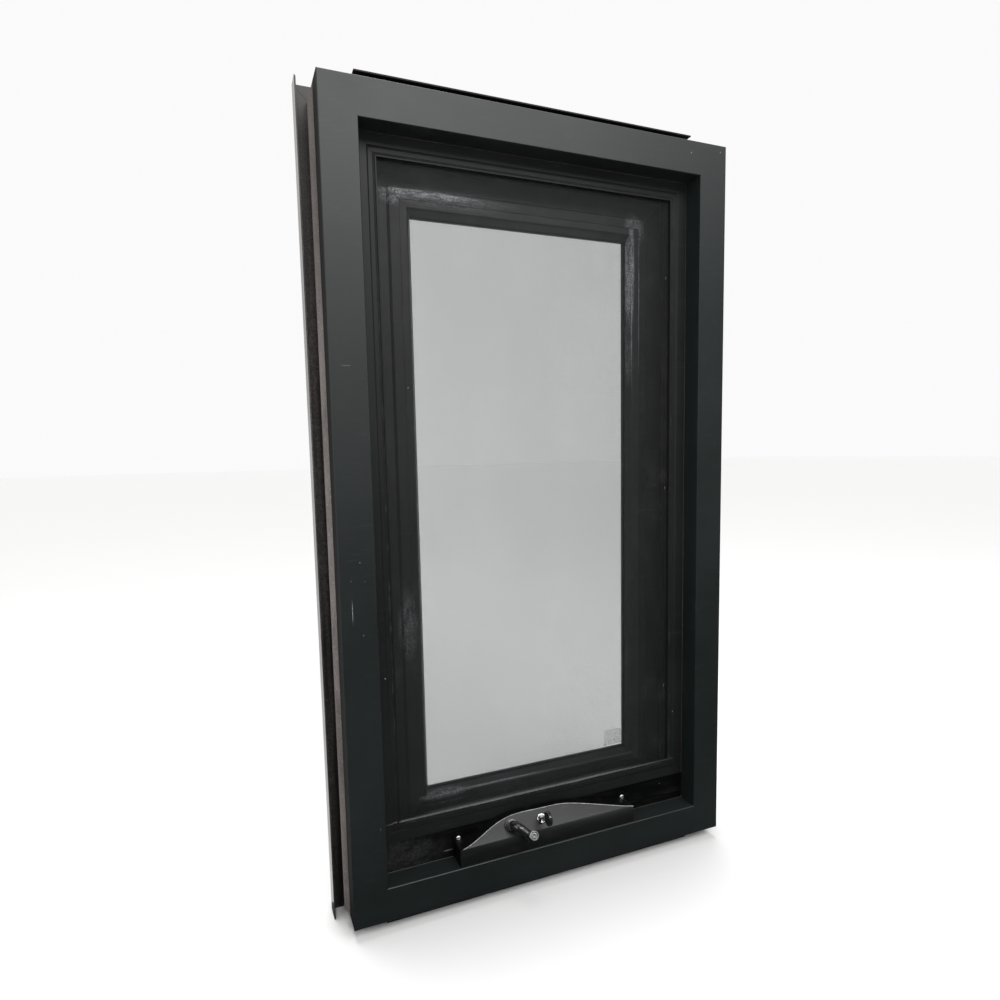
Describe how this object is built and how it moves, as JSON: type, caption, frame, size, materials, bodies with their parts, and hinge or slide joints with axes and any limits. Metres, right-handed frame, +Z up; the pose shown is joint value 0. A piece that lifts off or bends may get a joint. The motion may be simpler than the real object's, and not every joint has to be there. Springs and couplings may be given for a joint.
{
  "type": "top hung awning window",
  "caption": "Thermally broken aluminium awning window, closed, with a glazed sash behind an inner insect screen and a crank chain winder with key lock on the sill.",
  "frame": {"origin": "middle of the flat seat plate under the sill, halfway along the width", "axes": "+X to the right seen from the room, +Y from the room to the outside, +Z up"},
  "size_m": [0.636, 0.1505, 1.114],
  "materials": {
    "frame_coat": "satin charcoal powder coat on aluminium, dusty and lightly scratched",
    "sash_coat": "satin charcoal powder coat on aluminium",
    "screen_coat": "satin charcoal powder coat on roll-formed aluminium",
    "polyamide": "dusty glass-filled polyamide",
    "clear_glass": "clear float glass",
    "seal_rubber": "black matt rubber",
    "stay_steel": "satin stainless steel",
    "mesh_yarn": "black coated glass-fibre yarn",
    "winder_coat": "fine satin charcoal coat on a die casting",
    "crank_black": "gloss black enamel",
    "lock_chrome": "polished",
    "key_black": "black moulded key head",
    "screw_steel": "zinc plated"
  },
  "bodies": {
    "window": {"crank_boss": "crank_black", "fixing_plates": "frame_coat", "friction_stay_left": "stay_steel", "friction_stay_right": "stay_steel", "glass_pane": "clear_glass", "glazing_bead_bottom": "sash_coat", "glazing_bead_left": "sash_coat", "glazing_bead_right": "sash_coat", "glazing_bead_top": "sash_coat", "glazing_gaskets": "seal_rubber", "inner_frame_head": "frame_coat", "inner_frame_left": "frame_coat", "inner_frame_right": "frame_coat", "inner_frame_sill": "frame_coat", "inner_sash_seal": "seal_rubber", "lock_barrel": "lock_chrome", "lock_key": "key_black", "outer_frame_head": "frame_coat", "outer_frame_left": "frame_coat", "outer_frame_right": "frame_coat", "outer_frame_sill": "frame_coat", "outer_sash_seal": "seal_rubber", "sash_bottom_rail": "sash_coat", "sash_left_stile": "sash_coat", "sash_right_stile": "sash_coat", "sash_top_rail": "sash_coat", "screen_bottom": "screen_coat", "screen_left": "screen_coat", "screen_mesh": "mesh_yarn", "screen_right": "screen_coat", "screen_spline": "seal_rubber", "screen_top": "screen_coat", "sill_upstand": "frame_coat", "stop_screws": "screw_steel", "thermal_break_head": "polyamide", "thermal_break_left": "polyamide", "thermal_break_right": "polyamide", "thermal_break_sill": "polyamide", "winder_back_plate": "winder_coat", "winder_cover": "winder_coat", "winder_screws": "screw_steel"},
    "crank": {"crank_arm": "crank_black", "crank_knob": "crank_black"}
  },
  "joints": [
    {"name": "crank_turn", "type": "hinge", "parent": "window", "child": "crank", "pos_m": [-0.068, -0.04329, 0.10342], "axis": [0, -0.8387, 0.5446], "continuous": true}
  ]
}
